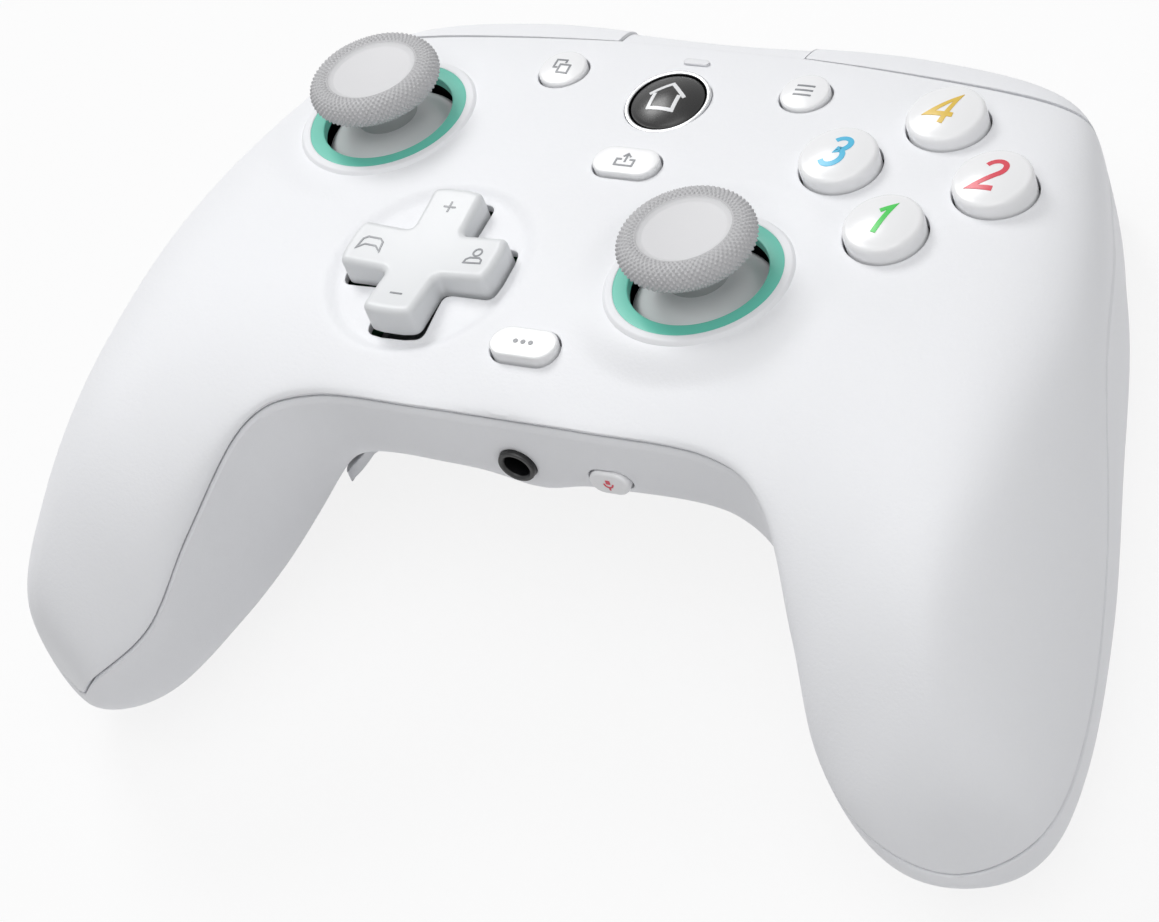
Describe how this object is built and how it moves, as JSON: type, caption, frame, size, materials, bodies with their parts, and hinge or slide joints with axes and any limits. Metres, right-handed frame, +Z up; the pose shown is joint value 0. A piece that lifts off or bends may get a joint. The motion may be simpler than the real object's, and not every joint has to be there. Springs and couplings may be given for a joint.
{
  "type": "gamepad controller",
  "caption": "Gamepad controller with two lofted grips, offset thumbsticks on yokes, a rocking direction pad, press buttons, bumpers, hinged triggers and back paddles.",
  "frame": {"origin": "middle of the flat pad under the rear hump, on the surface that the gamepad stands on", "axes": "+Z up, +X to the player's right, +Y away from the player; the face leans back by the rest tilt"},
  "size_m": [0.1524, 0.1087, 0.0535],
  "materials": {
    "shell_white": "fine moulded grain",
    "button_white": "satin",
    "ring_mint": "satin",
    "stick_grey": "soft touch with a knurled rim",
    "home_black": "polished",
    "home_chrome": "satin",
    "lens": "frosted",
    "board_green": "solder mask",
    "steel": "plain",
    "switch_metal": "plain",
    "silicone": "matte",
    "jack_black": "moulded",
    "inner_plastic": "moulded"
  },
  "bodies": {
    "housing": {"front_shell": "shell_white", "rear_shell": "shell_white", "top_bridge": "shell_white", "left_stick_ring": "ring_mint", "right_stick_ring": "ring_mint", "home_ring": "home_chrome", "status_lens": "lens", "main_board": "board_green", "front_board": "board_green", "board_screws": "steel", "shell_screws": "steel", "tact_switches": "switch_metal", "action_pad": "silicone", "dpad_pad": "silicone", "usb_socket": "steel", "audio_jack": "jack_black", "dpad_post": "inner_plastic", "trigger_pins": "steel", "bumper_pins": "steel", "left_stick_frame": "steel", "right_stick_frame": "steel", "left_motor": "steel", "right_motor": "steel"},
    "left_stick_yoke": {"left_stick_yoke": "inner_plastic"},
    "left_stick_hub": {"left_stick_hub": "inner_plastic"},
    "left_stick_arch": {"left_stick_arch": "inner_plastic"},
    "left_stick": {"left_stick_shaft": "steel", "left_stick_cap": "stick_grey"},
    "right_stick_yoke": {"right_stick_yoke": "inner_plastic"},
    "right_stick_hub": {"right_stick_hub": "inner_plastic"},
    "right_stick_arch": {"right_stick_arch": "inner_plastic"},
    "right_stick": {"right_stick_shaft": "steel", "right_stick_cap": "stick_grey"},
    "dpad_gimbal": {"dpad_gimbal": "inner_plastic"},
    "dpad": {"dpad": "button_white"},
    "button_south": {"button_south": "button_white"},
    "button_east": {"button_east": "button_white"},
    "button_west": {"button_west": "button_white"},
    "button_north": {"button_north": "button_white"},
    "view_button": {"view_button": "button_white"},
    "menu_button": {"menu_button": "button_white"},
    "home_button": {"home_button": "home_black"},
    "share_button": {"share_button": "button_white"},
    "mode_button": {"mode_button": "button_white"},
    "mute_button": {"mute_button": "button_white"},
    "left_bumper": {"left_bumper": "shell_white"},
    "right_bumper": {"right_bumper": "shell_white"},
    "left_trigger": {"left_trigger": "shell_white"},
    "right_trigger": {"right_trigger": "shell_white"},
    "left_paddle": {"left_paddle": "shell_white"},
    "right_paddle": {"right_paddle": "shell_white"},
    "left_weight": {"left_weight": "steel"},
    "right_weight": {"right_weight": "steel"}
  },
  "joints": [
    {"name": "left_stick_forward", "type": "hinge", "parent": "housing", "child": "left_stick_yoke", "pos_m": [-0.0405, -0.00646, 0.02841], "axis": [1, 0, 0], "range_deg": [-12, 12], "stiffness_Nm_per_rad": 0.03},
    {"name": "left_stick_sideways", "type": "hinge", "parent": "left_stick_yoke", "child": "left_stick_hub", "pos_m": [-0.0405, -0.00646, 0.02841], "axis": [0, 0.9799, -0.1994], "range_deg": [-12, 12], "stiffness_Nm_per_rad": 0.03},
    {"name": "left_stick_click", "type": "slide", "parent": "left_stick_hub", "child": "left_stick", "axis": [0, -0.1994, -0.9799], "range_m": [0, 0.0005], "stiffness_N_per_m": 3000, "springref_m": -0.0003},
    {"name": "left_stick_arch_turn", "type": "hinge", "parent": "housing", "child": "left_stick_arch", "pos_m": [-0.0405, -0.00646, 0.02841], "axis": [0, 0.9799, -0.1994], "range_deg": [-12, 12]},
    {"name": "right_stick_forward", "type": "hinge", "parent": "housing", "child": "right_stick_yoke", "pos_m": [0.0185, -0.02875, 0.03421], "axis": [1, 0, 0], "range_deg": [-12, 12], "stiffness_Nm_per_rad": 0.03},
    {"name": "right_stick_sideways", "type": "hinge", "parent": "right_stick_yoke", "child": "right_stick_hub", "pos_m": [0.0185, -0.02875, 0.03421], "axis": [0, 0.9799, -0.1994], "range_deg": [-12, 12], "stiffness_Nm_per_rad": 0.03},
    {"name": "right_stick_click", "type": "slide", "parent": "right_stick_hub", "child": "right_stick", "axis": [0, -0.1994, -0.9799], "range_m": [0, 0.0005], "stiffness_N_per_m": 3000, "springref_m": -0.0003},
    {"name": "right_stick_arch_turn", "type": "hinge", "parent": "housing", "child": "right_stick_arch", "pos_m": [0.0185, -0.02875, 0.03421], "axis": [0, 0.9799, -0.1994], "range_deg": [-12, 12]},
    {"name": "dpad_forward", "type": "hinge", "parent": "housing", "child": "dpad_gimbal", "pos_m": [-0.02, -0.0315, 0.04025], "axis": [1, 0, 0], "range_deg": [-5, 5], "stiffness_Nm_per_rad": 0.1},
    {"name": "dpad_sideways", "type": "hinge", "parent": "dpad_gimbal", "child": "dpad", "pos_m": [-0.02, -0.0315, 0.04025], "axis": [0, 0.9799, -0.1994], "range_deg": [-5, 5], "stiffness_Nm_per_rad": 0.1},
    {"name": "south_press", "type": "slide", "parent": "housing", "child": "button_south", "axis": [0, -0.1994, -0.9799], "range_m": [0, 0.0014], "stiffness_N_per_m": 500, "springref_m": -0.0005},
    {"name": "east_press", "type": "slide", "parent": "housing", "child": "button_east", "axis": [0, -0.1994, -0.9799], "range_m": [0, 0.0014], "stiffness_N_per_m": 500, "springref_m": -0.0005},
    {"name": "west_press", "type": "slide", "parent": "housing", "child": "button_west", "axis": [0, -0.1994, -0.9799], "range_m": [0, 0.0014], "stiffness_N_per_m": 500, "springref_m": -0.0005},
    {"name": "north_press", "type": "slide", "parent": "housing", "child": "button_north", "axis": [0, -0.1994, -0.9799], "range_m": [0, 0.0014], "stiffness_N_per_m": 500, "springref_m": -0.0005},
    {"name": "view_press", "type": "slide", "parent": "housing", "child": "view_button", "axis": [0, -0.1994, -0.9799], "range_m": [0, 0.0008], "stiffness_N_per_m": 900, "springref_m": -0.0005},
    {"name": "menu_press", "type": "slide", "parent": "housing", "child": "menu_button", "axis": [0, -0.1994, -0.9799], "range_m": [0, 0.0008], "stiffness_N_per_m": 900, "springref_m": -0.0005},
    {"name": "home_press", "type": "slide", "parent": "housing", "child": "home_button", "axis": [0, -0.1994, -0.9799], "range_m": [0, 0.0008], "stiffness_N_per_m": 900, "springref_m": -0.0005},
    {"name": "share_press", "type": "slide", "parent": "housing", "child": "share_button", "axis": [0, -0.1994, -0.9799], "range_m": [0, 0.0008], "stiffness_N_per_m": 900, "springref_m": -0.0005},
    {"name": "mode_press", "type": "slide", "parent": "housing", "child": "mode_button", "axis": [0, -0.1994, -0.9799], "range_m": [0, 0.0008], "stiffness_N_per_m": 900, "springref_m": -0.0005},
    {"name": "mute_press", "type": "slide", "parent": "housing", "child": "mute_button", "axis": [0, 0.9799, -0.1994], "range_m": [0, 0.0008], "stiffness_N_per_m": 900, "springref_m": -0.0005},
    {"name": "left_bumper_press", "type": "hinge", "parent": "housing", "child": "left_bumper", "pos_m": [-0.0175, 0.0146, 0.02257], "axis": [0, 0.1994, 0.9799], "range_deg": [0, 1], "stiffness_Nm_per_rad": 1.5, "springref_deg": -1.15},
    {"name": "right_bumper_press", "type": "hinge", "parent": "housing", "child": "right_bumper", "pos_m": [0.0175, 0.0146, 0.02257], "axis": [0, -0.1994, -0.9799], "range_deg": [0, 1], "stiffness_Nm_per_rad": 1.5, "springref_deg": -1.15},
    {"name": "left_trigger_pull", "type": "hinge", "parent": "housing", "child": "left_trigger", "pos_m": [-0.0405, 0.0086, 0.01971], "axis": [-1, 0, 0], "range_deg": [0, 16], "stiffness_Nm_per_rad": 0.08, "springref_deg": -8.59},
    {"name": "right_trigger_pull", "type": "hinge", "parent": "housing", "child": "right_trigger", "pos_m": [0.0405, 0.0086, 0.01971], "axis": [-1, 0, 0], "range_deg": [0, 16], "stiffness_Nm_per_rad": 0.08, "springref_deg": -8.59},
    {"name": "left_paddle_press", "type": "slide", "parent": "housing", "child": "left_paddle", "axis": [0, 0.1994, 0.9799], "range_m": [0, 0.0008], "stiffness_N_per_m": 900, "springref_m": -0.0005},
    {"name": "right_paddle_press", "type": "slide", "parent": "housing", "child": "right_paddle", "axis": [0, 0.1994, 0.9799], "range_m": [0, 0.0008], "stiffness_N_per_m": 900, "springref_m": -0.0005},
    {"name": "left_weight_spin", "type": "hinge", "parent": "housing", "child": "left_weight", "pos_m": [-0.06, -0.04757, 0.0245], "axis": [0, 0.9799, -0.1994], "continuous": true},
    {"name": "right_weight_spin", "type": "hinge", "parent": "housing", "child": "right_weight", "pos_m": [0.06, -0.04757, 0.0245], "axis": [0, 0.9799, -0.1994], "continuous": true}
  ],
  "couplings": [
    {"joint": "left_stick_arch_turn", "follows": "left_stick_sideways", "ratio": 1},
    {"joint": "right_stick_arch_turn", "follows": "right_stick_sideways", "ratio": 1}
  ]
}
